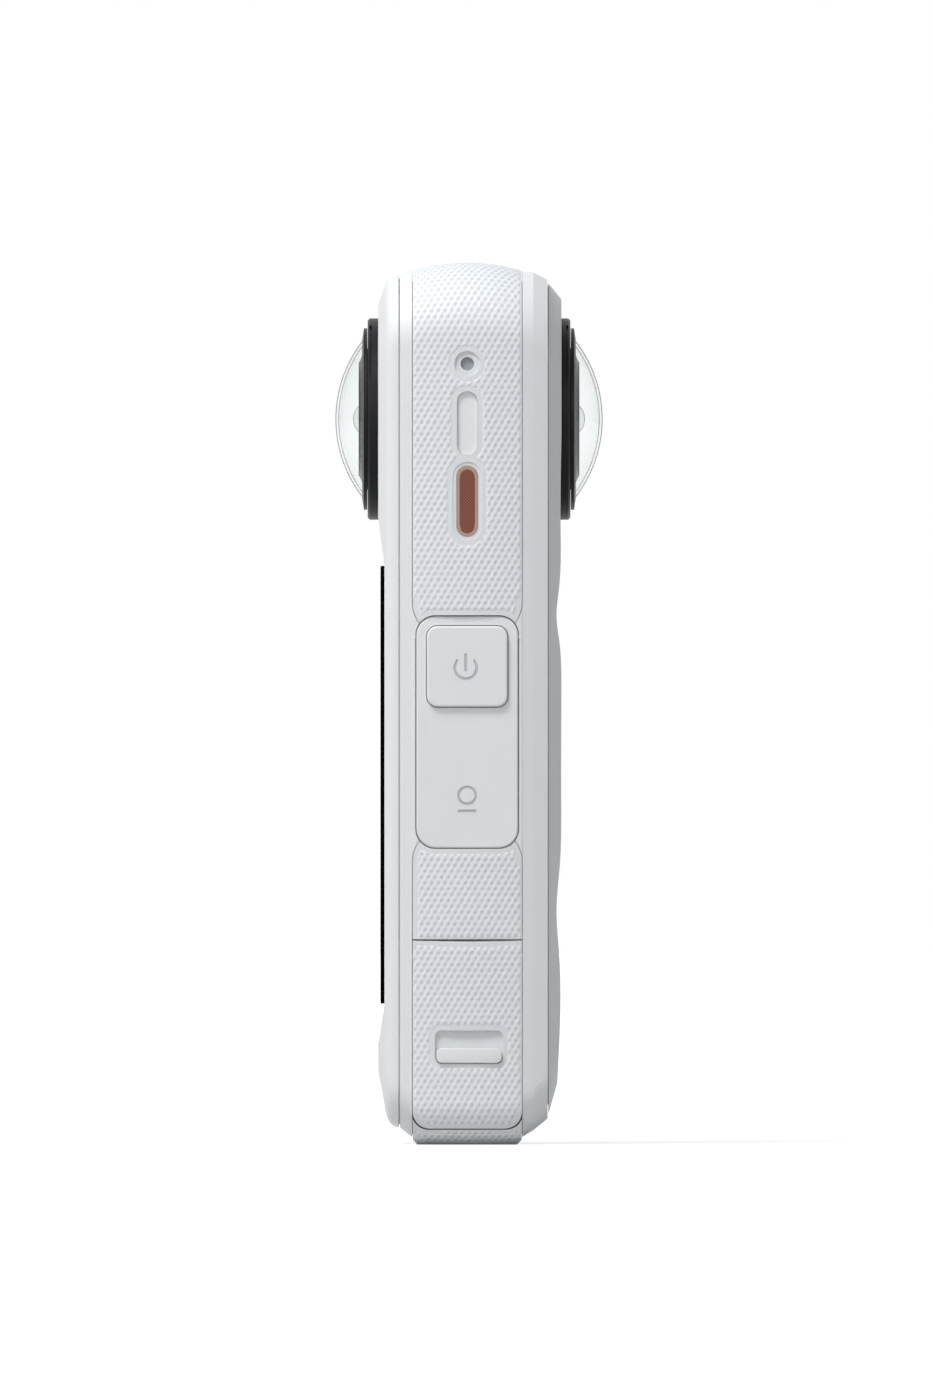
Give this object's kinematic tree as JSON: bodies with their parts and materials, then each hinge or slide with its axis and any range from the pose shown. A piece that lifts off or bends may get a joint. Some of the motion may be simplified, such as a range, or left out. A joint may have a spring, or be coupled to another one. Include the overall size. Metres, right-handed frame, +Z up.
{
  "type": "360 degree camera",
  "caption": "Slim upright 360 degree camera with a domed lens on each face, a touch screen, side keys and hinged doors.",
  "frame": {"origin": "centre of the base, on the surface that the camera stands on", "axes": "+Z up, -Y towards the screen side, +X towards the side with the keys and the battery door"},
  "size_m": [0.046, 0.0378, 0.1244],
  "materials": {
    "shell": "fine matt moulded polycarbonate, cool white",
    "grip": "textured soft grip, cool white",
    "mesh": "fine woven copper brown mesh",
    "lens_black": "satin black anodised",
    "dome": "clear coated",
    "lens_glass": "coated",
    "screen": "black glass",
    "display": "dark panel",
    "seal": "silicone",
    "steel": "stainless",
    "board": "solder mask",
    "chip": "moulded electronic parts",
    "battery_shell": "dark moulded",
    "metal_plate": "milled",
    "light": "light guide"
  },
  "bodies": {
    "root": {"battery": "battery_shell", "battery_box": "battery_shell", "battery_contacts": "chip", "battery_hinge_pin": "steel", "board_screws": "steel", "bottom_grip_band": "grip", "card_socket": "steel", "cover_screws": "steel", "display_module": "display", "front_cover": "shell", "front_image_sensor": "chip", "front_inner_lenses": "lens_glass", "front_lens_barrel": "lens_black", "front_lens_base_ring": "lens_black", "front_switch_board": "board", "front_switches": "chip", "glass_gasket": "seal", "heat_sink_plate": "metal_plate", "lens_carrier": "metal_plate", "lens_seals": "seal", "lower_grip_band": "grip", "main_board": "board", "mic_mesh_left": "mesh", "mic_mesh_right": "mesh", "microphones": "chip", "mid_frame": "shell", "processor_shield": "steel", "quick_button_pivot": "steel", "rear_cover": "shell", "rear_grip_pad": "grip", "rear_image_sensor": "chip", "rear_inner_lenses": "lens_glass", "rear_lens_barrel": "lens_black", "rear_lens_base_ring": "lens_black", "side_switch_board": "board", "side_switches": "chip", "speaker": "chip", "status_lights": "light", "touch_glass": "screen", "tripod_insert": "steel", "upper_grip_band": "grip", "usb_hinge_pin": "steel", "usb_port": "steel", "vent_plug": "shell"},
    "power_button": {"power_button": "shell"},
    "quick_button": {"quick_button": "shell"},
    "shutter_button": {"shutter_button": "shell"},
    "lens_button": {"lens_button": "shell"},
    "battery_door": {"battery_door": "grip", "battery_door_seal": "seal"},
    "battery_latch": {"battery_latch": "shell"},
    "usb_door": {"usb_door": "grip", "usb_door_seal": "seal"},
    "usb_latch": {"usb_latch": "shell"},
    "front_lens": {"front_lens_ring": "lens_black", "front_lens_dome": "dome"},
    "rear_lens": {"rear_lens_ring": "lens_black", "rear_lens_dome": "dome"}
  },
  "joints": [
    {"name": "power_button_press", "type": "slide", "parent": "root", "child": "power_button", "axis": [-1, 0, 0], "range_m": [0, 0.0005], "stiffness_N_per_m": 600},
    {"name": "quick_button_press", "type": "hinge", "parent": "root", "child": "quick_button", "pos_m": [0.0214, -0.00025, 0.0717], "axis": [0, 1, 0], "range_deg": [0, 0.9], "stiffness_Nm_per_rad": 0.5},
    {"name": "shutter_button_press", "type": "slide", "parent": "root", "child": "shutter_button", "axis": [0, 1, 0], "range_m": [0, 0.0005], "stiffness_N_per_m": 600},
    {"name": "lens_button_press", "type": "slide", "parent": "root", "child": "lens_button", "axis": [0, 1, 0], "range_m": [0, 0.0005], "stiffness_N_per_m": 600},
    {"name": "battery_door_swing", "type": "hinge", "parent": "root", "child": "battery_door", "pos_m": [0.0215, -0.00025, 0.02665], "axis": [0, -1, 0], "range_deg": [0, 110]},
    {"name": "battery_latch_slide", "type": "slide", "parent": "battery_door", "child": "battery_latch", "axis": [0, 0, 1], "range_m": [0, 0.0011], "stiffness_N_per_m": 300},
    {"name": "usb_door_swing", "type": "hinge", "parent": "root", "child": "usb_door", "pos_m": [-0.0215, -0.00025, 0.0618], "axis": [0, 1, 0], "range_deg": [0, 110]},
    {"name": "usb_latch_slide", "type": "slide", "parent": "usb_door", "child": "usb_latch", "axis": [0, 0, 1], "range_m": [0, 0.0011], "stiffness_N_per_m": 300},
    {"name": "front_lens_twist", "type": "hinge", "parent": "root", "child": "front_lens", "pos_m": [0, -0.014, 0.1025], "axis": [0, -1, 0], "range_deg": [0, 30]},
    {"name": "rear_lens_twist", "type": "hinge", "parent": "root", "child": "rear_lens", "pos_m": [0, 0.014, 0.1025], "axis": [0, 1, 0], "range_deg": [0, 30]}
  ]
}
